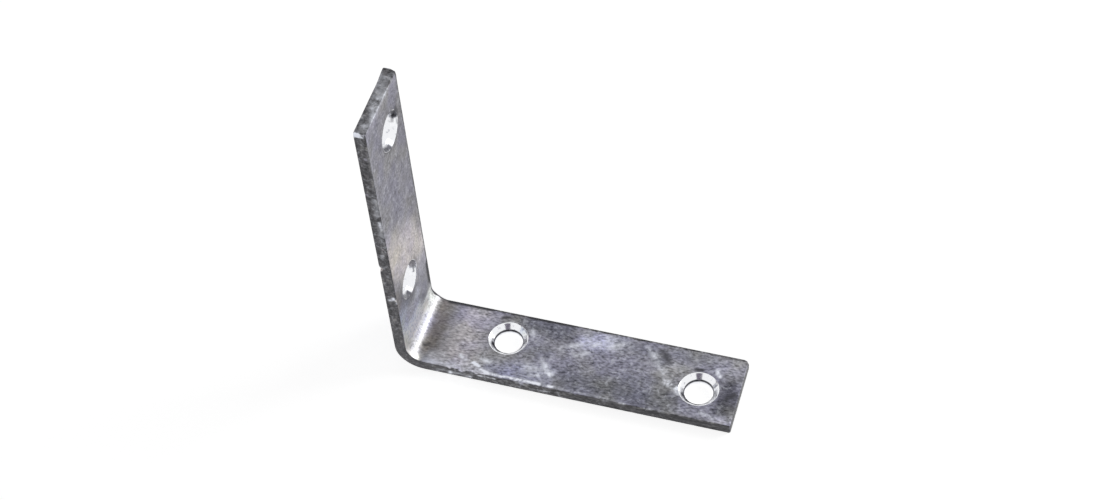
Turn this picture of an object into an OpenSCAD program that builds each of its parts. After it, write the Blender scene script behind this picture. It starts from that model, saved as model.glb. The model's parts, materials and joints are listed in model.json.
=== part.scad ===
// Corner brace bracket: one flat steel strip, bent once to a right angle, with two countersunk
// screw holes in each leg. The outer faces lie against the two boards that the brace ties together.
// Frame: the origin is the outer corner, where the planes of the two outer faces meet, at the middle
// of the strip. +X runs along the foot, +Z up the upright, and Y across. Units are millimetres.

/* [Strip] */
// Length of each leg, from the outer corner to its end
leg_length = 76; // [60:0.5:102]
// Width of the strip
strip_width = 18; // [14:0.5:26]
// Thickness of the strip
strip_thickness = 2.6; // [2:0.1:4]
// Radius of the strip's four long edges, from rolling
edge_radius = 0.2; // [0.1:0.05:0.9]
// Radius of the end corners, seen square on to a leg
corner_radius = 0.4; // [0.3:0.1:4]
// Radius of the edge that the shear pulls down, on the inner face at each end
shear_radius = 0.4; // [0.1:0.05:0.9]

/* [Bend] */
// Radius on the inside of the bend
bend_radius = 3.6; // [1:0.1:8]

/* [Screw holes] */
// Diameter of the bore below each countersink
bore_diameter = 6.4; // [4:0.1:8]
// Diameter of each countersink where it opens on the inner face
sink_diameter = 8.8; // [7:0.1:11]
// Full angle of the countersink's cone
sink_angle = 90; // [82:1:110]
// Distance from the outer corner to the nearer hole of a leg
corner_margin = 22.05; // [18:0.05:30]
// Distance from a leg's end to the hole near it
end_margin = 9.55; // [7:0.05:20]
// Sideways step of each hole from the row's line, left and right in turn along the strip
zigzag = 1.5; // [0:0.1:4]
// How far the punched row sits off its place along the strip, towards the foot's end
row_shift_along = 0.65; // [-1:0.05:1]
// How far the punched row sits off the middle of the strip, towards +Y
row_shift_across = 0.4; // [-1:0.05:1]

/* [Hidden] */
$fn = 96;
// Radius on the outside of the bend, which is also where each leg's flat part starts
outer_radius = bend_radius + strip_thickness;
// Depth of the countersink's cone, from the inner face down to the bore
sink_depth = (sink_diameter - bore_diameter) / (2 * tan(sink_angle / 2));
// How far the hole cutters stand out past the faces
cut_past = 1;

// Section of the rolled strip: width along X, thickness up from the outer face at y = 0.
module strip_section() {
    translate([edge_radius - strip_width / 2, 0])
        square([strip_width - 2 * edge_radius, strip_thickness]);
    translate([-strip_width / 2, edge_radius])
        square([strip_width, strip_thickness - 2 * edge_radius]);
    for (side = [-1, 1], height = [edge_radius, strip_thickness - edge_radius])
        translate([side * (strip_width / 2 - edge_radius), height])
            circle(r = edge_radius);
}

// A leg seen square on to its face, with the round corners of its end.
module leg_plan() {
    translate([0, -strip_width / 2])
        square([leg_length - corner_radius, strip_width]);
    translate([0, corner_radius - strip_width / 2])
        square([leg_length, strip_width - 2 * corner_radius]);
    for (side = [-1, 1])
        translate([leg_length - corner_radius, side * (strip_width / 2 - corner_radius)])
            circle(r = corner_radius);
}

// A leg seen from its long edge, with the pulled-down edge of its end on the inner face.
module leg_side() {
    square([leg_length - shear_radius, strip_thickness]);
    square([leg_length, strip_thickness - shear_radius]);
    translate([leg_length - shear_radius, strip_thickness - shear_radius])
        circle(r = shear_radius);
}

// The flat part of a leg along +X: what the section, the plan and the side view have in common.
module flat_strip() {
    intersection() {
        translate([outer_radius, 0, 0])
            rotate([90, 0, 90])
                linear_extrude(leg_length - outer_radius)
                    strip_section();
        linear_extrude(strip_thickness)
            leg_plan();
        rotate([90, 0, 0])
            linear_extrude(strip_width, center = true)
                leg_side();
    }
}

// Cutter for one screw hole: a bore, and a cone that opens on the inner face.
module screw_hole() {
    translate([0, 0, -cut_past])
        cylinder(h = strip_thickness + 2 * cut_past, d = bore_diameter);
    translate([0, 0, strip_thickness - sink_depth])
        cylinder(
            h = sink_depth + cut_past,
            d1 = bore_diameter,
            d2 = sink_diameter + 2 * cut_past * tan(sink_angle / 2)
        );
}

// One leg along +X. The row of holes was punched along the flat strip, on past the bend, so each
// step and shift that is + on the foot is the other way about on the upright: turn is 1 or -1.
module leg(turn) {
    difference() {
        flat_strip();
        translate([corner_margin + turn * row_shift_along, row_shift_across + turn * zigzag, 0])
            screw_hole();
        translate([
            leg_length - end_margin + turn * row_shift_along,
            row_shift_across - turn * zigzag,
            0
        ])
            screw_hole();
    }
}

// The bend: the same section swept through a right angle about an axis along Y, tangent to both legs.
module bend() {
    translate([outer_radius, 0, outer_radius])
        rotate([90, 180, 0])
            rotate_extrude(angle = 90)
                translate([outer_radius, 0])
                    rotate(90)
                        strip_section();
}

// The whole brace in zinc-plated steel: the upright is the foot's leg mirrored in the plane x = z.
module brace() {
    color("#8f8f95") {
        leg(1);
        bend();
        mirror([1, 0, -1])
            leg(-1);
    }
}

brace();
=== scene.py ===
import json
from math import asin, cos, pi, radians, sin

import bmesh
import bpy
from mathutils import Euler, Matrix, Vector


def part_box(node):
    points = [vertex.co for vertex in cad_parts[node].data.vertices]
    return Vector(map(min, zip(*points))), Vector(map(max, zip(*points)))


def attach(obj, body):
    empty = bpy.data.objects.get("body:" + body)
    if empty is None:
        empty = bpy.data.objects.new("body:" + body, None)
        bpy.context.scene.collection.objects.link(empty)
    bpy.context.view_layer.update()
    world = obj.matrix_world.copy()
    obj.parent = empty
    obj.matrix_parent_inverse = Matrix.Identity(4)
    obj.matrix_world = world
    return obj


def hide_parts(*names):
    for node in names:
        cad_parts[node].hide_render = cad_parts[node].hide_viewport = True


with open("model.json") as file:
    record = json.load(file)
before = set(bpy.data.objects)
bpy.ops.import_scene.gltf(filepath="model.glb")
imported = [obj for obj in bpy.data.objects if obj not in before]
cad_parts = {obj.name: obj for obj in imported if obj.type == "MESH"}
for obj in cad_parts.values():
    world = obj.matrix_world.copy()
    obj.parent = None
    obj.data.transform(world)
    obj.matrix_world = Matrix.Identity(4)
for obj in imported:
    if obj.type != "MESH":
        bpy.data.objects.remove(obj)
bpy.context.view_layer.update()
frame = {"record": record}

# ---------------------------------------------------------------------------------------------
# Camera. A long lens looks down into the inside of the corner, from the foot's side and a
# little rolled, so that the foot runs down to the right and the upright leans to the left.
# ---------------------------------------------------------------------------------------------
MM = 0.001
AIM = Vector((32.7, 6.8, 30.9)) * MM
CAMERA_DISTANCE = 439.3 * MM
CAMERA_AZIMUTH = radians(20.81)
CAMERA_ELEVATION = radians(50.63)
CAMERA_ROLL = radians(-5.39)
FOCAL_LENGTH = 67.57
SENSOR_WIDTH = 36.0
CLIP_START = 10 * MM
CLIP_END = 20.0

camera_data = bpy.data.cameras.new("camera")
camera_data.lens = FOCAL_LENGTH
camera_data.sensor_width = SENSOR_WIDTH
camera_data.clip_start = CLIP_START
camera_data.clip_end = CLIP_END
camera = bpy.data.objects.new("camera", camera_data)
bpy.context.scene.collection.objects.link(camera)
camera_turn = Euler((pi / 2 - CAMERA_ELEVATION, 0, CAMERA_AZIMUTH)).to_matrix()
camera_turn = camera_turn @ Matrix.Rotation(CAMERA_ROLL, 3, "Z")
camera.matrix_world = Matrix.LocRotScale(
    AIM + camera_turn @ Vector((0, 0, CAMERA_DISTANCE)), camera_turn.to_quaternion(), None
)
bpy.context.scene.camera = camera
bpy.context.scene.view_settings.view_transform = "Standard"

# ---------------------------------------------------------------------------------------------
# The strip. Hot-rolled mild steel flat bar with rounded long edges, sheared to length and bent
# round a former. The foot and half of the bend are shaped, then mirrored in the corner's plane.
# ---------------------------------------------------------------------------------------------
low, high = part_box("brace")
LEG_LENGTH = high.x
STRIP_WIDTH = high.y - low.y
STRIP_THICKNESS = 2.6 * MM
EDGE_RADIUS = 0.14 * MM
BEND_RADIUS = 3.6 * MM
OUTER_RADIUS = BEND_RADIUS + STRIP_THICKNESS
CORNER_RADIUS = 0.4 * MM
SHEAR_RADIUS = 0.2 * MM
GRID = 0.25 * MM
SAME_PLACE = GRID / 100
EDGE_SEGMENTS = 3
END_STEPS = 6
BEND_STEPS = 12


def choose(obj, kind, wanted):
    """In edit mode, selects the vertices, edges or faces of obj that are wanted, and no others."""
    bpy.ops.mesh.select_all(action="DESELECT")
    bpy.ops.mesh.select_mode(type=kind)
    mesh = bmesh.from_edit_mesh(obj.data)
    items = {"VERT": mesh.verts, "EDGE": mesh.edges, "FACE": mesh.faces}[kind]
    for item in items:
        if wanted(item):
            item.select_set(True)
    mesh.select_flush_mode()
    bmesh.update_edit_mesh(obj.data)


def edge_run(edge):
    """An edge as a vector."""
    return edge.verts[1].co - edge.verts[0].co


def apply_modifier(obj, modifier):
    """Applies one modifier of obj to its mesh."""
    bpy.ops.object.select_all(action="DESELECT")
    obj.select_set(True)
    bpy.context.view_layer.objects.active = obj
    bpy.ops.object.modifier_apply(modifier=modifier.name)


bpy.ops.object.select_all(action="DESELECT")
bpy.ops.mesh.primitive_plane_add(size=1, rotation=(0, pi / 2, 0))
strip = bpy.context.object
strip.name = "bent_strip"
strip.scale = (STRIP_THICKNESS, STRIP_WIDTH, 1)
strip.location = (OUTER_RADIUS, 0, STRIP_THICKNESS / 2)
bpy.ops.object.transform_apply(location=True, rotation=True, scale=True)

bpy.ops.object.mode_set(mode="EDIT")
bpy.ops.mesh.bevel(
    offset=EDGE_RADIUS, offset_type="OFFSET", segments=EDGE_SEGMENTS, affect="VERTICES"
)
bpy.ops.mesh.delete(type="ONLY_FACE")
for axis, length in ((1, STRIP_WIDTH), (2, STRIP_THICKNESS)):
    choose(strip, "EDGE", lambda e: abs(edge_run(e)[axis]) > EDGE_RADIUS)
    bpy.ops.mesh.subdivide(number_cuts=round((length - 2 * EDGE_RADIUS) / GRID) - 1)

bpy.ops.mesh.select_all(action="SELECT")
flat_length = LEG_LENGTH - CORNER_RADIUS - OUTER_RADIUS
bpy.ops.mesh.extrude_region_move(TRANSFORM_OT_translate={"value": (flat_length, 0, 0)})
reach, half_width, thickness = 0, STRIP_WIDTH / 2, STRIP_THICKNESS
for step in range(1, END_STEPS + 1):
    turn = step / END_STEPS * pi / 2
    new_reach = CORNER_RADIUS * sin(turn)
    new_half_width = STRIP_WIDTH / 2 - CORNER_RADIUS * (1 - cos(turn))
    into_shear = max(0, new_reach - CORNER_RADIUS + SHEAR_RADIUS) / SHEAR_RADIUS
    new_thickness = STRIP_THICKNESS - SHEAR_RADIUS * (1 - cos(asin(min(1, into_shear))))
    bpy.ops.mesh.extrude_region_move(TRANSFORM_OT_translate={"value": (new_reach - reach, 0, 0)})
    bpy.ops.transform.resize(
        value=(1, new_half_width / half_width, new_thickness / thickness),
        center_override=(LEG_LENGTH - CORNER_RADIUS + new_reach, 0, 0),
    )
    reach, half_width, thickness = new_reach, new_half_width, new_thickness
bpy.ops.mesh.edge_face_add()
bpy.ops.mesh.inset(thickness=EDGE_RADIUS / 2)

choose(strip, "EDGE", lambda e: abs(edge_run(e).x) > 2 * CORNER_RADIUS)
bpy.ops.mesh.subdivide(number_cuts=round(flat_length / GRID) - 1)
choose(strip, "EDGE", lambda e: all(v.co.x < OUTER_RADIUS + GRID / 2 for v in e.verts))
bpy.ops.mesh.spin(
    steps=BEND_STEPS, angle=-pi / 4, center=(OUTER_RADIUS, 0, OUTER_RADIUS), axis=(0, 1, 0)
)
bpy.ops.object.mode_set(mode="OBJECT")

bpy.ops.object.empty_add(rotation=(0, pi / 4, 0))
corner_plane = bpy.context.object
upright = strip.modifiers.new("upright", "MIRROR")
upright.mirror_object = corner_plane
upright.merge_threshold = SAME_PLACE
apply_modifier(strip, upright)
bpy.data.objects.remove(corner_plane)
bpy.ops.object.mode_set(mode="EDIT")
bpy.ops.mesh.select_all(action="SELECT")
bpy.ops.mesh.remove_doubles(threshold=SAME_PLACE)
bpy.ops.mesh.normals_make_consistent(inside=False)
bpy.ops.object.mode_set(mode="OBJECT")

# ---------------------------------------------------------------------------------------------
# The screw holes. Punched through and countersunk at 90 degrees from the inside of the corner,
# two in each leg. The rim is a little rolled over, and the punch leaves a break at the back.
# ---------------------------------------------------------------------------------------------
BORE_SIDES = 96
CONE_DEPTH = 1.2 * MM
CONE_STEPS = 7
RIM_BREAK = 0.12 * MM
BACK_BREAK = 0.12 * MM
OVERRUN = 0.4 * MM
SLIVER = GRID / 40

bores = [mount for mount in frame["record"]["mounts"] if mount["kind"] == "bore"]
bore_radius = bores[0]["dims"]["r_mm"] * MM
land = bores[0]["dims"]["length_mm"] * MM
sink_radius = bore_radius + CONE_DEPTH
face_height = land / 2 + CONE_DEPTH
punch_profile = [
    # height above the middle of the land, and radius there
    (-land / 2 - OVERRUN, bore_radius + BACK_BREAK + OVERRUN),
    (-land / 2, bore_radius + BACK_BREAK),
    (-land / 2 + BACK_BREAK, bore_radius + BACK_BREAK / 4),
    (-land / 2 + 2 * BACK_BREAK, bore_radius),
    (0, bore_radius),
]
for step in range(CONE_STEPS):
    depth = step / CONE_STEPS * CONE_DEPTH
    punch_profile.append((land / 2 + depth, bore_radius + depth))
punch_profile += [
    (face_height - RIM_BREAK / 3, sink_radius - RIM_BREAK / 6),
    (face_height, sink_radius + RIM_BREAK / 2),
    (face_height + OVERRUN, sink_radius + 3 * OVERRUN),
]

bpy.ops.object.select_all(action="DESELECT")
bpy.ops.mesh.primitive_circle_add(
    vertices=BORE_SIDES, radius=punch_profile[0][1], fill_type="NGON", location=(0, 0, 0)
)
punch = bpy.context.object
punch.name = "countersink_punch"
bpy.ops.object.mode_set(mode="EDIT")
bpy.ops.transform.translate(value=(0, 0, punch_profile[0][0]))
for (height, radius), (next_height, next_radius) in zip(punch_profile, punch_profile[1:]):
    bpy.ops.mesh.extrude_region_move(
        TRANSFORM_OT_translate={"value": (0, 0, next_height - height)}
    )
    bpy.ops.transform.resize(
        value=(next_radius / radius, next_radius / radius, 1), center_override=(0, 0, next_height)
    )
bpy.ops.mesh.select_all(action="SELECT")
bpy.ops.mesh.normals_make_consistent(inside=False)
bpy.ops.object.mode_set(mode="OBJECT")

punches = []
for bore in bores:
    one = punch.copy()
    one.data = punch.data.copy()
    bpy.context.scene.collection.objects.link(one)
    one.location = bore["pos_m"]
    one.rotation_euler = Vector(bore["axis"]).to_track_quat("Z", "Y").to_euler()
    punches.append(one)
bpy.data.objects.remove(punch)
bpy.ops.object.select_all(action="DESELECT")
for one in punches:
    one.select_set(True)
bpy.context.view_layer.objects.active = punches[0]
bpy.ops.object.transform_apply(location=True, rotation=True, scale=True)
bpy.ops.object.join()

holes = strip.modifiers.new("holes", "BOOLEAN")
holes.operation = "DIFFERENCE"
holes.solver = "EXACT"
holes.object = punches[0]
apply_modifier(strip, holes)
bpy.data.objects.remove(punches[0])


def in_a_hole(point, widest):
    """True where a point is nearer to some bore's axis than widest."""
    return any(
        (point - Vector(bore["pos_m"])).cross(Vector(bore["axis"])).length < widest for bore in bores
    )


# The cut faces are made triangles at once, so that no doubled sliver is left along a rim.
bpy.ops.object.mode_set(mode="EDIT")
bpy.ops.mesh.select_all(action="SELECT")
bpy.ops.mesh.remove_doubles(threshold=SLIVER)
choose(strip, "FACE", lambda f: any(in_a_hole(v.co, sink_radius + GRID) for v in f.verts))
bpy.ops.mesh.quads_convert_to_tris(quad_method="BEAUTY", ngon_method="BEAUTY")
bpy.ops.object.mode_set(mode="OBJECT")

# ---------------------------------------------------------------------------------------------
# Waves and knocks. Rolling, bending and the plating barrel leave the faces a little wavy, pull
# the long edges out of line by a few hundredths and knock small nicks into the corners.
# ---------------------------------------------------------------------------------------------
SMOOTH_ANGLE = radians(32)
WAVES = (
    # name, then the length of the waves and how far they swing
    ("long_wave", 12 * MM, 0.03 * MM),
    ("short_wave", 2.5 * MM, 0.02 * MM),
)
KNOCKS = (
    # place on the surface, mm, then radius and depth, mm
    # below 0 it stands out: the burr at the upright's end, and the bulge at the sides of the bend
    ((12.2, -9.0, 2.5), 0.9, 0.22),
    ((15.3, -9.0, 2.4), 1.3, 0.25),
    ((18.3, -9.0, 2.4), 0.8, 0.20),
    ((24.0, -8.9, 2.6), 0.9, 0.14),
    ((28.6, -9.0, 2.2), 1.2, 0.22),
    ((33.0, -8.9, 2.6), 0.8, 0.12),
    ((41.5, -9.0, 2.5), 0.9, 0.15),
    ((48.2, -9.0, 2.3), 1.1, 0.20),
    ((55.0, -9.0, 2.5), 0.8, 0.12),
    ((61.4, -9.0, 2.2), 1.0, 0.20),
    ((69.0, -9.0, 2.5), 0.9, 0.14),
    ((17.8, -5.7, 2.6), 1.0, 0.12),
    ((19.4, -5.2, 2.6), 0.8, 0.10),
    ((72.0, 5.7, 2.6), 0.9, 0.12),
    ((61.9, -2.2, 2.6), 0.9, 0.10),
    ((2.5, -9.0, 23.6), 1.0, 0.22),
    ((0.1, -9.0, 33.7), 1.1, 0.35),
    ((1.6, -9.0, 40.5), 0.9, 0.15),
    ((2.2, -9.0, 47.8), 1.2, 0.18),
    ((0.3, -9.0, 58.0), 0.9, 0.16),
    ((1.8, -9.0, 68.5), 1.0, 0.18),
    ((0.2, 9.0, 20.0), 1.0, 0.20),
    ((0.1, 8.9, 51.0), 1.1, 0.20),
    ((34.0, 9.0, 0.2), 1.0, 0.20),
    ((59.0, 8.9, 0.1), 1.1, 0.22),
    ((0.0, 3.0, 40.0), 1.4, 0.12),
    ((0.0, -5.0, 12.0), 1.2, 0.10),
    ((76.0, 9.0, 2.4), 1.1, 0.30),
    ((0.9, 8.7, 76.0), 4.4, -0.60),
    ((2.6, 9.0, 76.0), 1.2, 0.18),
    ((3.7, 9.0, 3.7), 3.2, -0.22),
    ((3.7, -9.0, 3.7), 2.6, -0.08),
)

bpy.ops.object.mode_set(mode="EDIT")
choose(strip, "VERT", lambda v: not in_a_hole(v.co, sink_radius))
bpy.ops.object.vertex_group_assign_new()
bpy.ops.object.mode_set(mode="OBJECT")
skin = strip.vertex_groups[0]
skin.name = "skin"
for name, length, swing in WAVES:
    texture = bpy.data.textures.new(name, "CLOUDS")
    texture.noise_scale = length
    texture.noise_depth = 2
    wave = strip.modifiers.new(name, "DISPLACE")
    wave.texture = texture
    wave.texture_coords = "LOCAL"
    wave.mid_level = 0.5
    wave.strength = swing
    wave.vertex_group = skin.name
    apply_modifier(strip, wave)

bpy.ops.object.mode_set(mode="EDIT")
for place, radius, depth in KNOCKS:
    struck = min(strip.data.vertices, key=lambda v: (v.co - Vector(place) * MM).length)
    inwards = -struck.normal * depth * MM
    choose(strip, "VERT", lambda v: v.index == struck.index)
    bpy.ops.transform.translate(
        value=inwards,
        use_proportional_edit=True,
        use_proportional_connected=True,
        proportional_edit_falloff="SMOOTH",
        proportional_size=radius * MM,
    )
bpy.ops.object.mode_set(mode="OBJECT")
bpy.ops.object.shade_smooth_by_angle(angle=SMOOTH_ANGLE)

# ---------------------------------------------------------------------------------------------
# The finish. Bright zinc electroplate, barrel plated over the whole bracket after it was bent and
# punched, then handled: grey with faint blue and warm patches, pale rubs and dark spots. Painted
# light lies over it: a highlight and a glint along the bend, reflections next to the bend and on the
# upright, glints on the near edges, and shade along the far edges and inside the holes.
# ---------------------------------------------------------------------------------------------
PLATE_GREY = "#85858c"
TONES_AND_PAINTED_LIGHT = (
    # from and to on the surface, mm, half width, mm, how strong, and the colour painted there, the
    # plate's own except where a comment below says painted light
    ((2.6, 0.0, 46.0), (2.6, 0.0, 76.0), 17.0, 1.0, "#77767e"),
    # painted reflection: the upright lighter and warmer at mid height, where it mirrors the white
    # floor (this row and the next)
    ((2.6, -9.0, 36.0), (2.6, 0.0, 30.5), 10.5, 1.0, "#bab4b2"),
    ((2.6, 0.0, 30.5), (2.6, 9.0, 24.0), 8.5, 0.95, "#b9b3b0"),
    ((2.6, 7.5, 15.5), (2.6, 7.5, 20.5), 2.6, 0.6, "#8c8b8f"),
    ((2.6, -9.0, 19.0), (2.6, -9.0, 26.0), 2.8, 0.8, "#aaa7a6"),
    # painted shade: the upright darker towards its far edge (this row and the next)
    ((2.6, 9.0, 31.0), (2.6, 6.0, 42.0), 4.8, 0.8, "#716f77"),
    ((2.6, 8.5, 42.0), (2.6, 8.0, 70.0), 5.5, 0.9, "#6c6b73"),
    ((2.6, -9.0, 75.5), (2.6, 9.0, 75.5), 3.0, 0.5, "#93929a"),
    # painted reflection of the bright bend, pale on the upright just above it (this row and the
    # next)
    ((2.6, -9.0, 9.0), (2.6, -8.0, 14.5), 7.0, 1.2, "#cfd7dd"),
    ((2.6, -7.0, 8.6), (2.6, 0.0, 8.2), 4.5, 1.2, "#f0f8fb"),
    ((2.6, 8.0, 9.5), (2.6, 6.0, 12.5), 3.3, 0.8, "#74747c"),
    # more of that painted reflection of the bend (this row and the next)
    ((2.6, -4.5, 13.0), (2.6, 0.5, 13.0), 3.2, 1.0, "#cdd0d6"),
    ((2.6, -8.4, 8.4), (2.6, -8.2, 12.0), 2.2, 0.9, "#f2f9fb"),
    # the painted highlight along the bend, bright above and falling off towards the foot (this row
    # and the four after it)
    ((2.7, -9.0, 6.6), (2.7, 9.0, 5.4), 2.6, 1.6, "#f8fdff"),
    ((3.35, -9.0, 4.05), (3.35, 6.0, 4.05), 1.0, 1.1, "#dcdee6"),
    ((2.7, 8.8, 6.8), (3.2, 8.8, 4.4), 2.4, 0.8, "#b4b5bd"),
    ((3.9, -9.0, 3.5), (3.9, 9.0, 3.5), 0.7, 1.5, "#bfc1ca"),
    ((4.5, -7.6, 3.05), (4.5, 9.0, 3.05), 0.8, 1.4, "#9d9da3"),
    # a painted glint: white where the bend meets the near edge
    ((2.7, -9.2, 7.4), (4.1, -8.6, 3.4), 1.7, 2.0, "#ffffff"),
    ((13.0, -8.0, 2.6), (13.0, 5.0, 2.6), 6.8, 0.95, "#aaa7b0"),
    ((8.0, -8.8, 2.6), (20.0, -8.8, 2.6), 3.4, 0.8, "#b6b7c6"),
    # painted reflection: a darker band on the foot beside the bend, where it mirrors the upright
    # (this row and the next)
    ((6.4, -5.0, 2.6), (6.4, 9.0, 2.6), 2.8, 1.2, "#797575"),
    ((5.1, -4.6, 2.8), (5.4, -3.6, 2.7), 0.8, 0.5, "#5f5c5c"),
    ((7.6, -6.4, 2.6), (10.0, -6.4, 2.6), 2.2, 0.7, "#b4b4be"),
    ((8.0, 6.5, 2.6), (9.5, 4.5, 2.6), 2.6, 0.6, "#7a7a7f"),
    ((15.5, 7.0, 2.6), (19.0, 7.4, 2.6), 2.2, 0.6, "#a09ea6"),
    ((20.5, 7.9, 2.6), (26.0, 7.9, 2.6), 2.6, 0.8, "#77767c"),
    ((26.0, 7.0, 2.6), (34.5, 6.5, 2.6), 4.3, 1.0, "#66676c"),
    ((28.5, -0.5, 2.6), (32.0, 0.5, 2.6), 2.8, 0.8, "#717278"),
    ((22.0, -6.8, 2.6), (33.5, -6.5, 2.6), 4.5, 0.95, "#8b8d9c"),
    ((39.0, -6.0, 2.6), (61.0, -6.0, 2.6), 6.0, 1.0, "#6b6c73"),
    ((40.5, 5.5, 2.6), (47.0, 6.5, 2.6), 3.7, 1.0, "#adafbf"),
    ((48.0, 6.5, 2.6), (52.0, 6.0, 2.6), 3.0, 0.8, "#77787f"),
    ((51.0, -2.5, 2.6), (57.0, -2.0, 2.6), 3.0, 0.8, "#75767d"),
    ((54.5, 6.5, 2.6), (57.5, 4.0, 2.6), 2.2, 0.9, "#66676d"),
    ((59.5, 3.8, 2.6), (62.5, 4.2, 2.6), 2.2, 0.7, "#9a9ba3"),
    ((60.0, 7.0, 2.6), (69.0, 6.6, 2.6), 3.0, 0.8, "#787980"),
    ((70.5, 6.0, 2.6), (74.5, 6.0, 2.6), 2.6, 0.7, "#a0a0aa"),
    ((72.8, -5.5, 2.6), (73.6, 1.0, 2.6), 3.2, 1.1, "#55555a"),
    ((73.0, -8.3, 2.6), (75.5, -8.1, 2.6), 1.8, 0.9, "#a9a9b6"),
)
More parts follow.
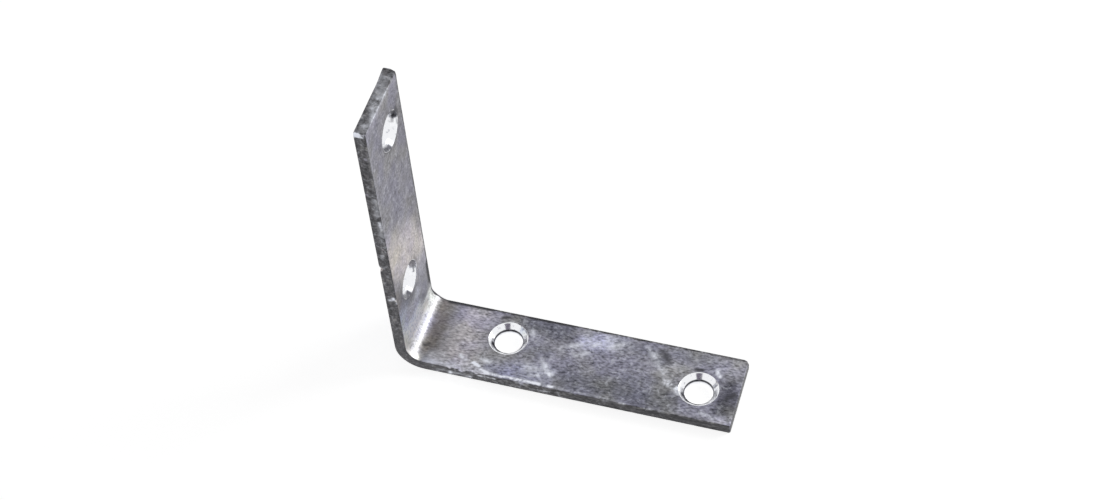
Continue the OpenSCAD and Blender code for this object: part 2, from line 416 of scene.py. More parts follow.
MARKS_AND_PAINTED_LIGHT = (
    # from and to, mm, then half width, mm, and how pale (above 0) or dark (below 0) it is
    ((29.0, -4.5, 2.6), (34.5, -5.0, 2.6), 2.2, 0.32),
    ((31.8, -1.5, 2.6), (34.4, -5.6, 2.6), 1.0, 0.45),
    ((30.0, -6.9, 2.6), (33.5, -5.5, 2.6), 0.8, 0.45),
    ((27.2, 5.0, 2.6), (29.4, 2.2, 2.6), 0.9, 0.50),
    ((26.6, 2.2, 2.6), (28.6, 0.4, 2.6), 0.8, 0.35),
    ((35.5, 2.0, 2.6), (38.5, 3.8, 2.6), 1.5, 0.45),
    ((38.0, 1.0, 2.6), (41.0, 2.6, 2.6), 1.3, 0.35),
    ((42.0, 4.8, 2.6), (45.5, 7.6, 2.6), 1.3, 0.40),
    ((45.0, 4.8, 2.6), (49.0, 7.0, 2.6), 1.2, 0.32),
    ((53.3, 7.2, 2.6), (55.8, 4.8, 2.6), 1.0, 0.26),
    ((55.8, 4.8, 2.6), (60.3, -0.6, 2.6), 1.6, 0.26),
    ((59.6, -1.1, 2.6), (62.6, -2.6, 2.6), 0.9, 1.00),
    ((62.4, -1.4, 2.6), (63.0, -3.4, 2.6), 0.8, 0.70),
    ((17.2, -6.4, 2.6), (18.6, -7.0, 2.6), 0.55, 1.50),
    ((19.2, -7.7, 2.6), (20.8, -8.2, 2.6), 0.45, 1.10),
    ((14.0, -5.1, 2.6), (15.2, -5.8, 2.6), 0.9, 0.70),
    ((18.4, -4.6, 2.6), (20.4, -5.4, 2.6), 0.9, 0.60),
    # painted highlights along the foot's near top edge (this row and the next)
    ((20.5, -8.4, 2.6), (36.0, -8.4, 2.6), 0.5, 1.10),
    ((36.0, -8.5, 2.6), (50.0, -8.5, 2.6), 0.3, 0.25),
    ((7.0, -8.4, 2.6), (14.0, -8.2, 2.6), 0.8, 0.40),
    ((69.8, 4.8, 2.6), (70.7, 3.2, 2.6), 0.6, 0.80),
    ((68.5, -7.0, 2.6), (72.0, -7.8, 2.6), 0.7, 0.45),
    ((75.4, 1.0, 2.6), (75.4, 4.0, 2.6), 0.30, 0.30),
    ((2.4, -4.0, 75.75), (2.4, 5.0, 75.75), 0.45, 0.22),
    ((0.9, -9.0, 76.0), (0.9, 9.0, 76.0), 1.2, 0.24),
    ((0.5, 4.0, 76.0), (0.5, 8.0, 76.0), 0.9, 0.30),
    ((2.4, -8.6, 76.0), (2.4, 4.0, 76.0), 0.4, 0.30),
    ((1.7, -8.6, 76.0), (1.7, -3.8, 76.0), 0.5, -1.10),
    ((1.9, 2.6, 76.0), (1.8, 9.0, 76.0), 0.6, -1.10),
    # painted shade along the far edge, at the upright's top end
    ((0.4, 9.0, 76.0), (2.4, 9.0, 76.0), 0.5, -0.90),
    ((0.8, -3.3, 76.0), (0.3, -2.7, 76.0), 0.6, -0.90),
    ((1.1, -5.9, 76.0), (1.3, -5.0, 76.0), 0.5, -0.70),
    # a painted glint on the upright's near top corner
    ((0.4, -9.0, 75.8), (1.9, -9.0, 75.7), 0.55, 2.20),
    ((9.0, -9.0, 0.8), (17.0, -9.0, 0.8), 1.1, 0.30),
    ((12.4, -9.0, 0.6), (12.6, -9.0, 1.2), 0.50, 0.70),
    ((14.2, -9.0, 1.2), (15.4, -9.0, 1.0), 0.40, 0.60),
    ((17.2, -9.0, 0.7), (18.4, -9.0, 0.8), 0.40, 0.60),
    ((19.0, -9.0, 1.9), (23.0, -9.0, 1.9), 0.35, 0.80),
    ((28.0, -9.0, 2.3), (29.4, -9.0, 1.9), 0.50, 0.60),
    ((31.0, -9.0, 1.0), (35.0, -9.0, 1.1), 0.40, 0.30),
    ((44.0, -9.0, 1.1), (56.0, -9.0, 1.0), 0.45, 0.20),
    ((51.2, -8.9, 2.6), (52.6, -8.9, 2.6), 0.4, 0.80),
    ((57.2, -8.9, 2.6), (58.8, -8.9, 2.6), 0.4, 0.70),
    ((60.2, -8.9, 2.5), (61.2, -8.9, 2.5), 0.4, 0.60),
    ((40.0, -9.0, 1.2), (76.0, -9.0, 1.2), 1.90, -0.22),
    ((58.0, -9.0, 1.9), (74.0, -9.0, 2.0), 0.60, -0.35),
    ((1.0, -9.0, 23.3), (1.9, -9.0, 23.9), 0.55, 0.90),
    ((2.0, -9.0, 24.0), (2.4, -9.0, 22.6), 0.40, 0.60),
    ((0.2, -9.0, 33.9), (1.8, -9.0, 34.0), 0.28, 1.10),
    ((1.0, -9.0, 38.2), (1.6, -9.0, 38.8), 0.55, 0.45),
    ((2.3, -9.0, 47.6), (2.0, -9.0, 49.4), 0.45, 0.65),
    ((1.8, -9.0, 50.0), (2.4, -9.0, 50.8), 0.60, -0.60),
    ((1.9, -9.0, 43.0), (1.9, -9.0, 58.0), 1.00, 0.22),
    # painted shade along the upright's far edge (this row and the next)
    ((2.6, 9.0, 10.0), (2.6, 9.0, 15.5), 1.8, -2.00),
    ((2.6, 8.9, 33.0), (2.6, 8.9, 44.0), 0.40, -0.80),
    ((2.6, 2.7, 24.3), (2.6, 3.5, 22.4), 0.8, -0.35),
    ((2.6, 6.6, 66.4), (2.6, 6.0, 68.6), 0.9, -0.60),
    ((2.0, -3.8, 76.0), (2.0, 2.6, 76.0), 0.35, -0.80),
    # painted shade along the foot's far edge (this row and the next)
    ((7.0, 8.7, 2.6), (17.0, 8.8, 2.6), 0.8, -1.10),
    ((26.0, 8.7, 2.6), (36.0, 8.8, 2.6), 0.7, -1.00),
    ((57.0, 6.8, 2.6), (59.2, 4.2, 2.6), 1.1, -0.60),
    ((73.6, -2.2, 2.6), (75.0, -0.6, 2.6), 0.9, -0.60),
    # the darkest spot of the painted reflection beside the bend, where the foot mirrors the upright
    ((5.1, -4.5, 2.8), (5.8, -4.0, 2.6), 0.7, -0.40),
    ((20.0, 7.3, 2.6), (21.4, 7.6, 2.6), 0.7, -0.60),
    ((65.4, 3.9, 2.6), (66.9, 4.0, 2.6), 0.6, -0.90),
    ((75.4, -5.0, 2.6), (75.4, -1.0, 2.6), 0.9, -0.45),
    ((2.6, -8.8, 44.0), (2.6, -8.8, 72.0), 0.4, 0.12),
)
COUNTERSINK_PAINTED_SHADE = (
    # the same, inside the countersinks: painted shade and painted reflections of the darker metal
    # round about, grey and dark in the bright cut steel
    ((21.3, 5.6, 2.1), (21.8, 5.2, 1.6), 0.5, -0.25),
    ((19.1, 1.6, 1.7), (19.6, 0.1, 1.7), 0.8, -0.90),
    ((19.6, 0.1, 1.7), (21.5, -1.4, 1.7), 1.0, -1.35),
    ((21.3, -1.4, 1.8), (23.2, -1.8, 1.8), 0.8, -0.80),
    ((23.2, -1.8, 1.8), (25.2, -0.9, 1.8), 0.9, -0.60),
    ((26.4, 2.2, 1.8), (25.9, 0.0, 1.7), 0.9, -0.85),
    ((66.6, 2.8, 2.2), (66.7, 2.3, 1.6), 0.4, -0.40),
    ((63.5, -1.4, 1.8), (64.0, -2.9, 1.8), 0.9, -0.70),
    ((64.0, -2.9, 1.8), (65.3, -4.2, 1.8), 0.9, -1.15),
    ((65.3, -4.2, 1.8), (67.6, -4.7, 1.8), 1.0, -1.20),
    ((67.6, -4.7, 1.8), (69.8, -3.8, 1.8), 0.9, -0.80),
    ((70.7, -0.6, 1.8), (70.4, -2.8, 1.8), 0.9, -0.60),
    ((2.2, 2.0, 23.9), (2.1, 2.6, 21.6), 0.8, -0.30),
    ((2.2, 2.9, 22.2), (2.2, 2.9, 21.0), 0.6, -0.45),
    ((2.1, 2.6, 21.4), (2.1, 2.5, 19.7), 0.3, -0.80),
    ((2.0, 1.9, 22.0), (1.8, 1.9, 20.6), 0.25, -0.60),
    ((2.3, -2.0, 17.3), (2.3, -3.2, 17.8), 1.4, -1.15),
    ((2.2, -4.2, 18.8), (2.2, -4.8, 20.2), 1.3, -0.90),
    ((1.9, -1.7, 17.7), (1.95, -2.3, 17.9), 0.5, -0.50),
    ((2.2, 5.8, 66.2), (2.3, 5.3, 68.0), 1.0, -1.40),
    ((1.9, 5.3, 66.6), (1.6, 5.0, 65.0), 0.35, -0.90),
    ((2.0, 5.6, 66.8), (1.8, 5.4, 64.8), 0.35, -0.80),
    ((2.5, 6.0, 66.0), (2.5, 5.9, 63.8), 0.3, -0.60),
    ((1.2, 4.9, 68.0), (1.2, 5.0, 66.2), 0.3, -0.60),
    ((2.2, 1.2, 61.8), (2.2, -0.3, 62.4), 1.3, -1.20),
    ((2.2, -1.2, 63.2), (2.2, -1.9, 64.8), 1.3, -0.85),
)
BURR_STAIN = -2.2
BURR_WIDTH = 0.09 * MM
BACK_NORMAL = -0.9


def linear(hexcode):
    """An sRGB hex colour as the linear colour that a shader takes."""
    shares = [int(hexcode[i : i + 2], 16) / 255 for i in (1, 3, 5)]
    return [s / 12.92 if s <= 0.04045 else ((s + 0.055) / 1.055) ** 2.4 for s in shares] + [1]


def add_node(tree, kind, settings=None, inputs=None):
    """Adds a node to a tree, with its settings, and its inputs as plain values or links."""
    node = tree.nodes.new(kind)
    for name, value in (settings or {}).items():
        setattr(node, name, value)
    for key, value in (inputs or {}).items():
        if isinstance(value, bpy.types.NodeSocket):
            tree.links.new(value, node.inputs[key])
        else:
            node.inputs[key].default_value = value
    return node


def bare_tree(owner):
    """The node tree of a material or a world, emptied."""
    owner.use_nodes = True
    owner.node_tree.nodes.clear()
    return owner.node_tree


def set_ramp(node, stops):
    """Gives a colour ramp its stops, each a place from 0 to 1 and a linear colour."""
    elements = node.color_ramp.elements
    while len(elements) < len(stops):
        elements.new(0.5)
    for element, (position, colour) in zip(elements, stops):
        element.position = position
        element.color = colour


def along_stroke(start, end, half_width):
    """The vertices within half_width of a line, each with its share of the stroke's full strength.

    The back keeps its plain finish: there a normal points down or away from the upright.
    """
    start, end = Vector(start) * MM, Vector(end) * MM
    run = end - start
    for vertex in strip.data.vertices:
        if vertex.normal.x + vertex.normal.z < BACK_NORMAL:
            continue
        share = max(0, min(1, (vertex.co - start).dot(run) / run.length_squared))
        off = (vertex.co - start - run * share).length / (half_width * MM)
        if off < 1:
            yield vertex.index, (1 - off * off) ** 2


tone_and_painted_light = strip.data.attributes.new("tone_and_painted_light", "FLOAT_COLOR", "POINT")
for value in tone_and_painted_light.data:
    value.color = linear(PLATE_GREY)
for start, end, half_width, strength, colour in TONES_AND_PAINTED_LIGHT:
    paint = Vector(linear(colour))
    for index, share in along_stroke(start, end, half_width):
        tone_and_painted_light.data[index].color = Vector(tone_and_painted_light.data[index].color).lerp(paint, min(1, strength * share))

marks_and_painted_light = strip.data.attributes.new("marks_and_painted_light", "FLOAT", "POINT")
for start, end, half_width, strength in MARKS_AND_PAINTED_LIGHT:
    for index, share in along_stroke(start, end, half_width):
        marks_and_painted_light.data[index].value += strength * share
for start, end, half_width, strength in COUNTERSINK_PAINTED_SHADE:
    for index, share in along_stroke(start, end, half_width):
        if in_a_hole(strip.data.vertices[index].co, sink_radius + RIM_BREAK):
            marks_and_painted_light.data[index].value += strength * share

# In the foot, a dark line of burr rings each countersink where it meets the bore.
for bore in bores:
    middle, axis = Vector(bore["pos_m"]), Vector(bore["axis"])
    if axis.z < 0.5:
        continue
    for vertex in strip.data.vertices:
        height = (vertex.co - middle).dot(axis)
        out = vertex.co - middle - axis * height
        if out.length < sink_radius + RIM_BREAK and abs(height - land / 2) < BURR_WIDTH:
            marks_and_painted_light.data[vertex.index].value = BURR_STAIN

# Zinc electroplate over rolled steel: a satin metal, clouded where the plate is thin or handled.
plate = bpy.data.materials.new("bright_zinc_electroplate")
tree = bare_tree(plate)
place = add_node(tree, "ShaderNodeTexCoord").outputs["Object"]
axes = add_node(tree, "ShaderNodeSeparateXYZ", inputs={0: place})
toned_and_lit = add_node(tree, "ShaderNodeAttribute", {"attribute_name": "tone_and_painted_light"}).outputs["Color"]
marks_and_light = add_node(tree, "ShaderNodeAttribute", {"attribute_name": "marks_and_painted_light"}).outputs["Fac"]

# Sockets of the Mix node, which has a pair of its own for colours and for plain values.
COLOUR_A, COLOUR_B, COLOUR_MIXED = 6, 7, 2
VALUE_A, VALUE_B, VALUE_MIXED = 2, 3, 0

# The patterns, by the size of their spots. The grain of real plate is finer than these specks: it is
# drawn as coarse as it needs to show.
CLOUD_SIZE = 1.7 * MM
PATCH_SIZE = 7 * MM
SPECK_SIZE = 0.45 * MM
SPECK_TURN = radians(-32)
SPECK_STRETCH = 0.5
FLECK_SIZE = 1.0 * MM
clouds = add_node(
    tree,
    "ShaderNodeTexNoise",
    inputs={
        "Vector": place,
        "Scale": 1 / CLOUD_SIZE,
        "Detail": 4,
        "Roughness": 0.6,
        "Distortion": 0.3,
    },
)
patches = add_node(
    tree, "ShaderNodeTexNoise", inputs={"Vector": place, "Scale": 1 / PATCH_SIZE, "Detail": 2}
)
rolled_way = add_node(
    tree,
    "ShaderNodeMapping",
    inputs={"Vector": place, "Rotation": (0, 0, SPECK_TURN), "Scale": (SPECK_STRETCH, 1, 1)},
)
specks = add_node(
    tree,
    "ShaderNodeTexNoise",
    inputs={"Vector": rolled_way.outputs[0], "Scale": 1 / SPECK_SIZE, "Detail": 2},
)
flecks = add_node(
    tree,
    "ShaderNodeTexNoise",
    inputs={
        "Vector": place,
        "Scale": 1 / FLECK_SIZE,
        "Detail": 3,
        "Roughness": 0.6,
        "Distortion": 0.5,
    },
)

# The former wiped the strip smooth next to the bend, so the clouds are weak there. The specks are
# strong on the foot, and weaker on the bend and the upright.
NOISE_MEAN = 0.5
WIPED_TO = 8 * MM
CLOUDED_FROM = 18 * MM
SPECKLED_FROM = 14 * MM
BEND_END = 7 * MM
farthest = add_node(
    tree, "ShaderNodeMath", {"operation": "MAXIMUM"}, {0: axes.outputs["X"], 1: axes.outputs["Z"]}
)
cloud_depth = add_node(
    tree,
    "ShaderNodeMapRange",
    inputs={
        "Value": farthest.outputs[0],
        "From Min": WIPED_TO,
        "From Max": CLOUDED_FROM,
        "To Min": 0.4,
        "To Max": 0.85,
    },
)
speck_depth = add_node(
    tree,
    "ShaderNodeMapRange",
    inputs={
        "Value": axes.outputs["X"],
        "From Min": BEND_END,
        "From Max": SPECKLED_FROM,
        "To Min": 1.7,
        "To Max": 2.5,
    },
)
cloud_swing = add_node(
    tree, "ShaderNodeMath", {"operation": "SUBTRACT"}, {0: clouds.outputs["Fac"], 1: NOISE_MEAN}
)
speck_swing = add_node(
    tree, "ShaderNodeMath", {"operation": "SUBTRACT"}, {0: specks.outputs["Fac"], 1: NOISE_MEAN}
)
cloud_part = add_node(
    tree,
    "ShaderNodeMath",
    {"operation": "MULTIPLY_ADD"},
    {0: cloud_swing.outputs[0], 1: cloud_depth.outputs[0], 2: 1.0},
)
shade = add_node(
    tree,
    "ShaderNodeMath",
    {"operation": "MULTIPLY_ADD"},
    {0: speck_swing.outputs[0], 1: speck_depth.outputs[0], 2: cloud_part.outputs[0]},
)
COOL = (0.97, 0.96, 1.08, 1)
WARM = (1.03, 1.02, 0.95, 1)
tint = add_node(tree, "ShaderNodeValToRGB", inputs={0: patches.outputs["Fac"]})
set_ramp(tint, ((0.38, COOL), (0.62, WARM)))
tinted = add_node(
    tree, "ShaderNodeVectorMath", {"operation": "MULTIPLY"}, {0: toned_and_lit, 1: tint.outputs[0]}
)
clouded = add_node(
    tree,
    "ShaderNodeVectorMath",
    {"operation": "SCALE"},
    {0: tinted.outputs[0], "Scale": shade.outputs[0]},
)

# Rubs and marks, with painted glints and highlights on the near edges and painted shade along the
# far edges. The clouds tear each pale stroke, pale flecks lie over both legs, and a dark one stays
# whole.
FLECK_PALENESS = 0.28
torn = add_node(
    tree,
    "ShaderNodeMapRange",
    inputs={
        "Value": clouds.outputs["Fac"],
        "From Min": 0.38,
        "From Max": 0.6,
        "To Min": 0.1,
        "To Max": 1.4,
    },
)
fleck_share = add_node(
    tree,
    "ShaderNodeMapRange",
    {"interpolation_type": "SMOOTHSTEP"},
    {
        "Value": flecks.outputs["Fac"],
        "From Min": 0.50,
        "From Max": 0.72,
        "To Max": FLECK_PALENESS,
    },
)
leg_flecks = add_node(
    tree,
    "ShaderNodeMath",
    {"operation": "MULTIPLY"},
    {0: fleck_share.outputs[0], 1: cloud_depth.outputs[0]},
)
rub_and_glint_share = add_node(
    tree,
    "ShaderNodeMath",
    {"operation": "MULTIPLY_ADD", "use_clamp": True},
    {0: marks_and_light, 1: torn.outputs[0], 2: leg_flecks.outputs[0]},
)
dirt_and_shade_share = add_node(
    tree, "ShaderNodeMath", {"operation": "MULTIPLY", "use_clamp": True}, {0: marks_and_light, 1: -1.0}
)

# The rolled long edges and the sheared ends are dark grey, in blotches that run in streaks. Over the
# far edge the dark grey reaches further onto the face, ragged: painted shade along that edge.
NEAR_EDGE = STRIP_WIDTH / 2 - 0.11 * MM
FAR_SHADE_EDGE = STRIP_WIDTH / 2 - 0.50 * MM
FAR_SHADE_RAGS = 1.2 * MM
END_EDGE = LEG_LENGTH - 0.09 * MM
EDGE_FADE_START = -0.03 * MM
EDGE_FADE_END = 0.05 * MM
over_near = add_node(
    tree, "ShaderNodeMath", {"operation": "SUBTRACT"}, {0: -NEAR_EDGE, 1: axes.outputs["Y"]}
)
over_far_shade = add_node(
    tree, "ShaderNodeMath", {"operation": "SUBTRACT"}, {0: axes.outputs["Y"], 1: FAR_SHADE_EDGE}
)
ragged_far_shade = add_node(
    tree,
    "ShaderNodeMath",
    {"operation": "MULTIPLY_ADD"},
    {0: cloud_swing.outputs[0], 1: FAR_SHADE_RAGS, 2: over_far_shade.outputs[0]},
)
over_end = add_node(
    tree, "ShaderNodeMath", {"operation": "SUBTRACT"}, {0: farthest.outputs[0], 1: END_EDGE}
)
over_near_or_end = add_node(
    tree,
    "ShaderNodeMath",
    {"operation": "MAXIMUM"},
    {0: over_near.outputs[0], 1: over_end.outputs[0]},
)
over_edge_or_far_shade = add_node(
    tree,
    "ShaderNodeMath",
    {"operation": "MAXIMUM"},
    {0: over_near_or_end.outputs[0], 1: ragged_far_shade.outputs[0]},
)
dark_edge_and_far_shade_share = add_node(
    tree,
    "ShaderNodeMapRange",
    {"interpolation_type": "SMOOTHSTEP"},
    {"Value": over_edge_or_far_shade.outputs[0], "From Min": EDGE_FADE_START, "From Max": EDGE_FADE_END},
)
BLOTCH_SIZE = 1.0 * MM
STREAK_LENGTH = 3.5
from_outside = add_node(
    tree, "ShaderNodeMath", {"operation": "MINIMUM"}, {0: axes.outputs["X"], 1: axes.outputs["Z"]}
)
slowly_along = add_node(
    tree, "ShaderNodeMath", {"operation": "DIVIDE"}, {0: farthest.outputs[0], 1: STREAK_LENGTH}
)
streak_place = add_node(
    tree,
    "ShaderNodeCombineXYZ",
    inputs={0: slowly_along.outputs[0], 1: axes.outputs["Y"], 2: from_outside.outputs[0]},
)
blotches = add_node(
    tree,
    "ShaderNodeTexNoise",
    inputs={
        "Vector": streak_place.outputs[0],
        "Scale": 1 / BLOTCH_SIZE,
        "Detail": 4,
        "Roughness": 0.65,
    },
)
dark_edge_and_far_shade_grey = add_node(tree, "ShaderNodeValToRGB", inputs={0: blotches.outputs["Fac"]})
set_ramp(
    dark_edge_and_far_shade_grey, ((0.34, linear("#444446")), (0.55, linear("#5f5e61")), (0.72, linear("#908f8e")))
)
dark_edges_and_far_shade = add_node(
    tree,
    "ShaderNodeVectorMath",
    {"operation": "SCALE"},
    {0: dark_edge_and_far_shade_grey.outputs[0], "Scale": shade.outputs[0]},
)
coloured = add_node(
    tree,
    "ShaderNodeMix",
    {"data_type": "RGBA"},
    {0: dark_edge_and_far_shade_share.outputs[0], COLOUR_A: clouded.outputs[0], COLOUR_B: dark_edges_and_far_shade.outputs[0]},
)
RUB_AND_GLINT_COLOUR = "#e4e7f0"
DIRT_AND_SHADE_COLOUR = "#3c3c42"
rubbed_and_glinting = add_node(
    tree,
    "ShaderNodeMix",
    {"data_type": "RGBA"},
    {
        0: rub_and_glint_share.outputs[0],
        COLOUR_A: coloured.outputs[COLOUR_MIXED],
        COLOUR_B: linear(RUB_AND_GLINT_COLOUR),
    },
)
marked_and_shaded = add_node(
    tree,
    "ShaderNodeMix",
    {"data_type": "RGBA"},
    {
        0: dirt_and_shade_share.outputs[0],
        COLOUR_A: rubbed_and_glinting.outputs[COLOUR_MIXED],
        COLOUR_B: linear(DIRT_AND_SHADE_COLOUR),
    },
)

# The shine: satin where the clouds are dark, brighter where they are pale. The former burnished the
# bend, so it shines more sharply than the flats, and the dark grey edges, with the painted shade
# along the far edge, are duller than both.
DULL_SATIN = 0.46
BRIGHT_SATIN = 0.34
BURNISHED_ROUGHNESS = 0.33
DARK_EDGE_ROUGHNESS = 0.5
BURNISHED_TO = 5.4 * MM
SATIN_FROM = 7.2 * MM
satin = add_node(
    tree,
    "ShaderNodeMapRange",
    inputs={
        "Value": clouds.outputs["Fac"],
        "From Min": 0.3,
        "From Max": 0.7,
        "To Min": DULL_SATIN,
        "To Max": BRIGHT_SATIN,
    },
)
burnished = add_node(
    tree,
    "ShaderNodeMapRange",
    {"interpolation_type": "SMOOTHSTEP"},
    {"Value": farthest.outputs[0], "From Min": SATIN_FROM, "From Max": BURNISHED_TO},
)
shine = add_node(
    tree,
    "ShaderNodeMix",
    {"data_type": "FLOAT"},
    {0: burnished.outputs[0], VALUE_A: satin.outputs[0], VALUE_B: BURNISHED_ROUGHNESS},
)
edge_shine = add_node(
    tree,
    "ShaderNodeMix",
    {"data_type": "FLOAT"},
    {0: dark_edge_and_far_shade_share.outputs[0], VALUE_A: shine.outputs[VALUE_MIXED], VALUE_B: DARK_EDGE_ROUGHNESS},
)

# Dirt, and the painted shade along the far edges, is no metal: it dulls the shine and stays dark
# where the bare plate would glare.
DIRT_AND_SHADE_METAL = 0.1
DIRT_AND_SHADE_ROUGHNESS = 0.65
GRAIN_DEPTH = 0.02 * MM
metal = add_node(
    tree,
    "ShaderNodeMapRange",
    inputs={"Value": dirt_and_shade_share.outputs[0], "To Min": 1.0, "To Max": DIRT_AND_SHADE_METAL},
)
roughness = add_node(
    tree,
    "ShaderNodeMix",
    {"data_type": "FLOAT"},
    {0: dirt_and_shade_share.outputs[0], VALUE_A: edge_shine.outputs[VALUE_MIXED], VALUE_B: DIRT_AND_SHADE_ROUGHNESS},
)
grain = add_node(
    tree,
    "ShaderNodeBump",
    inputs={"Height": specks.outputs["Fac"], "Strength": 0.5, "Distance": GRAIN_DEPTH},
)
surface = add_node(
    tree,
    "ShaderNodeBsdfPrincipled",
    inputs={
        "Base Color": marked_and_shaded.outputs[COLOUR_MIXED],
        "Metallic": metal.outputs[0],
        "Roughness": roughness.outputs[VALUE_MIXED],
        "Normal": grain.outputs[0],
    },
)
add_node(tree, "ShaderNodeOutputMaterial", inputs={"Surface": surface.outputs[0]})
strip.data.materials.append(plate)

# Freshly cut steel under the same plate: bright and almost white, a little torn by the punch, with
# grey and dark patches of painted shade and painted reflections of the darker metal round about.
TEAR_SIZE = 0.8 * MM
CUT_ROUGHNESS = 0.14
HOLE_DIRT_AND_SHADE_ROUGHNESS = 0.5
HOLE_DIRT_AND_SHADE_COLOUR = "#68686f"
BURR_AND_SHADE_COLOUR = "#242428"
cut_steel = bpy.data.materials.new("cut_steel_under_zinc")
tree = bare_tree(cut_steel)
place = add_node(tree, "ShaderNodeTexCoord").outputs["Object"]
marks_and_light = add_node(tree, "ShaderNodeAttribute", {"attribute_name": "marks_and_painted_light"}).outputs["Fac"]
tears = add_node(
    tree, "ShaderNodeTexNoise", inputs={"Vector": place, "Scale": 1 / TEAR_SIZE, "Detail": 3}
)
bright = add_node(tree, "ShaderNodeValToRGB", inputs={0: tears.outputs["Fac"]})
set_ramp(bright, ((0.26, linear("#c0c1c9")), (0.40, linear("#f2f3f6"))))
# A dark value up to 1 greys the cut steel, unevenly by the tears, and past 1 it nears the burr's
# black.
uneven = add_node(
    tree,
    "ShaderNodeMapRange",
    inputs={
        "Value": tears.outputs["Fac"],
        "From Min": 0.35,
        "From Max": 0.6,
        "To Min": -1.2,
        "To Max": -0.8,
    },
)
dirt_and_shade_in_holes = add_node(
    tree,
    "ShaderNodeMath",
    {"operation": "MULTIPLY", "use_clamp": True},
    {0: marks_and_light, 1: uneven.outputs[0]},
)
burr_and_shade_share = add_node(
    tree,
    "ShaderNodeMath",
    {"operation": "MULTIPLY_ADD", "use_clamp": True},
    {0: marks_and_light, 1: uneven.outputs[0], 2: -1.0},
)
dirtied_and_shaded = add_node(
    tree,
    "ShaderNodeMix",
    {"data_type": "RGBA"},
    {0: dirt_and_shade_in_holes.outputs[0], COLOUR_A: bright.outputs[0], COLOUR_B: linear(HOLE_DIRT_AND_SHADE_COLOUR)},
)
burred_and_shaded = add_node(
    tree,
    "ShaderNodeMix",
    {"data_type": "RGBA"},
    {
        0: burr_and_shade_share.outputs[0],
        COLOUR_A: dirtied_and_shaded.outputs[COLOUR_MIXED],
        COLOUR_B: linear(BURR_AND_SHADE_COLOUR),
    },
)
rough = add_node(
    tree,
    "ShaderNodeMapRange",
    inputs={"Value": dirt_and_shade_in_holes.outputs[0], "To Min": CUT_ROUGHNESS, "To Max": HOLE_DIRT_AND_SHADE_ROUGHNESS},
)
surface = add_node(
    tree,
    "ShaderNodeBsdfPrincipled",
    inputs={
        "Base Color": burred_and_shaded.outputs[COLOUR_MIXED],
        "Metallic": 1.0,
        "Roughness": rough.outputs[0],
    },
)
add_node(tree, "ShaderNodeOutputMaterial", inputs={"Surface": surface.outputs[0]})
strip.data.materials.append(cut_steel)


def on_the_back(face):
    """True for a face that lies flat on the strip's back, under the foot or behind the upright."""
    middle = face.calc_center_median()
    return face.normal[2 if middle.x > middle.z else 0] < BACK_NORMAL


def cut_by_the_punch(face):
    """True for a face of a bore, a countersink or a rim."""
    inside = all(in_a_hole(v.co, sink_radius + RIM_BREAK) for v in face.verts)
    return inside and not on_the_back(face)


bpy.ops.object.mode_set(mode="EDIT")
choose(strip, "FACE", cut_by_the_punch)
strip.active_material_index = 1
bpy.ops.object.material_slot_assign()
bpy.ops.object.mode_set(mode="OBJECT")

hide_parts("brace")
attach(strip, "root")

# ---------------------------------------------------------------------------------------------
# The floor: white paper that shows white where no shadow falls, and keeps the soft shadow.
# ---------------------------------------------------------------------------------------------
FLOOR_SIZE = 4.0
FLOOR_GLOW = 0.76
PAPER_COLOUR = "#f0f0f0"


def seen_directly(tree):
    """1 for a ray from the eye, mirrored or not, and 0 for light that falls on things."""
    ray = add_node(tree, "ShaderNodeLightPath")
    seen = add_node(
        tree,
        "ShaderNodeMath",
        {"operation": "ADD"},
        {0: ray.outputs["Is Camera Ray"], 1: ray.outputs["Is Glossy Ray"]},
    )
    seen_through = add_node(
        tree,
        "ShaderNodeMath",
        {"operation": "ADD", "use_clamp": True},
        {0: seen.outputs[0], 1: ray.outputs["Is Transmission Ray"]},
    )
    return seen_through.outputs[0]


bpy.ops.object.select_all(action="DESELECT")
bpy.ops.mesh.primitive_plane_add(size=FLOOR_SIZE, location=(0, 0, low.z))
floor = bpy.context.object
floor.name = "floor"
paper = bpy.data.materials.new("white_paper")
tree = bare_tree(paper)
glow_strength = add_node(
    tree, "ShaderNodeMath", {"operation": "MULTIPLY"}, {0: seen_directly(tree), 1: FLOOR_GLOW}
)
matt = add_node(tree, "ShaderNodeBsdfDiffuse", inputs={"Color": linear(PAPER_COLOUR)})
glow = add_node(tree, "ShaderNodeEmission", inputs={"Strength": glow_strength.outputs[0]})
both = add_node(tree, "ShaderNodeAddShader", inputs={0: matt.outputs[0], 1: glow.outputs[0]})
add_node(tree, "ShaderNodeOutputMaterial", inputs={"Surface": both.outputs[0]})
floor.data.materials.append(paper)

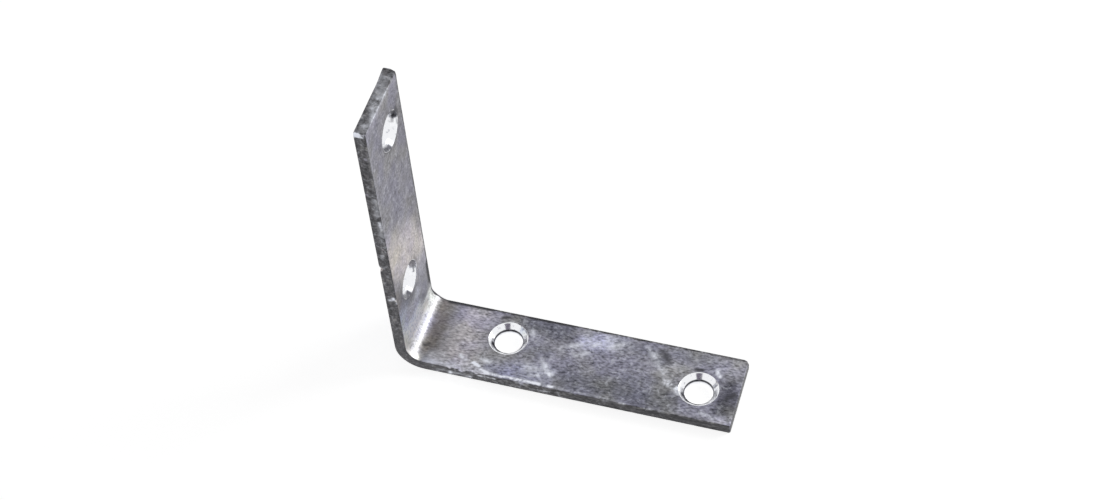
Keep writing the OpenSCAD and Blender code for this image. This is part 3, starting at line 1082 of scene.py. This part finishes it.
# ---------------------------------------------------------------------------------------------
# The light: a white room, one soft lamp over the far end of the foot, and a grey card beside
# the camera that shows only in the bright cut metal of the countersinks.
# ---------------------------------------------------------------------------------------------
ROOM_LIGHT = 0.25
ROOM_SEEN = 1.0
KEY_SIDE = Vector((0.69, 0.59, 0.42)).normalized()
KEY_DISTANCE = 0.8
KEY_SIZE = 0.36
KEY_RADIANCE = 3.0
CARD_SIDE = Vector((0.25, -0.88, 0.40)).normalized()
CARD_DISTANCE = 0.42
CARD_SIZE = (0.20, 0.42, 1)
CARD_COLOUR = "#726c7a"

world = bpy.data.worlds.new("white_room")
bpy.context.scene.world = world
tree = bare_tree(world)
room_strength = add_node(
    tree,
    "ShaderNodeMapRange",
    inputs={"Value": seen_directly(tree), "To Min": ROOM_LIGHT, "To Max": ROOM_SEEN},
)
room = add_node(
    tree,
    "ShaderNodeBackground",
    inputs={"Color": (1, 1, 1, 1), "Strength": room_strength.outputs[0]},
)
add_node(tree, "ShaderNodeOutputWorld", inputs={"Surface": room.outputs[0]})

lamp_data = bpy.data.lights.new("key_lamp", "AREA")
lamp_data.shape = "SQUARE"
lamp_data.size = KEY_SIZE
lamp_data.energy = KEY_RADIANCE * pi * KEY_SIZE * KEY_SIZE
lamp = bpy.data.objects.new("key_lamp", lamp_data)
bpy.context.scene.collection.objects.link(lamp)
lamp.location = AIM + KEY_SIDE * KEY_DISTANCE
lamp.rotation_euler = KEY_SIDE.to_track_quat("Z", "Y").to_euler()
lamp.visible_camera = False

bpy.ops.object.select_all(action="DESELECT")
bpy.ops.mesh.primitive_plane_add(
    size=1,
    location=AIM + CARD_SIDE * CARD_DISTANCE,
    rotation=CARD_SIDE.to_track_quat("Z", "Y").to_euler(),
)
card = bpy.context.object
card.name = "grey_card"
card.scale = CARD_SIZE
bpy.ops.object.transform_apply(location=False, rotation=False, scale=True)
grey = bpy.data.materials.new("grey_card")
tree = bare_tree(grey)
flat = add_node(tree, "ShaderNodeEmission", inputs={"Color": linear(CARD_COLOUR)})
add_node(tree, "ShaderNodeOutputMaterial", inputs={"Surface": flat.outputs[0]})
card.data.materials.append(grey)
card.visible_camera = False
card.visible_diffuse = False
card.visible_shadow = False
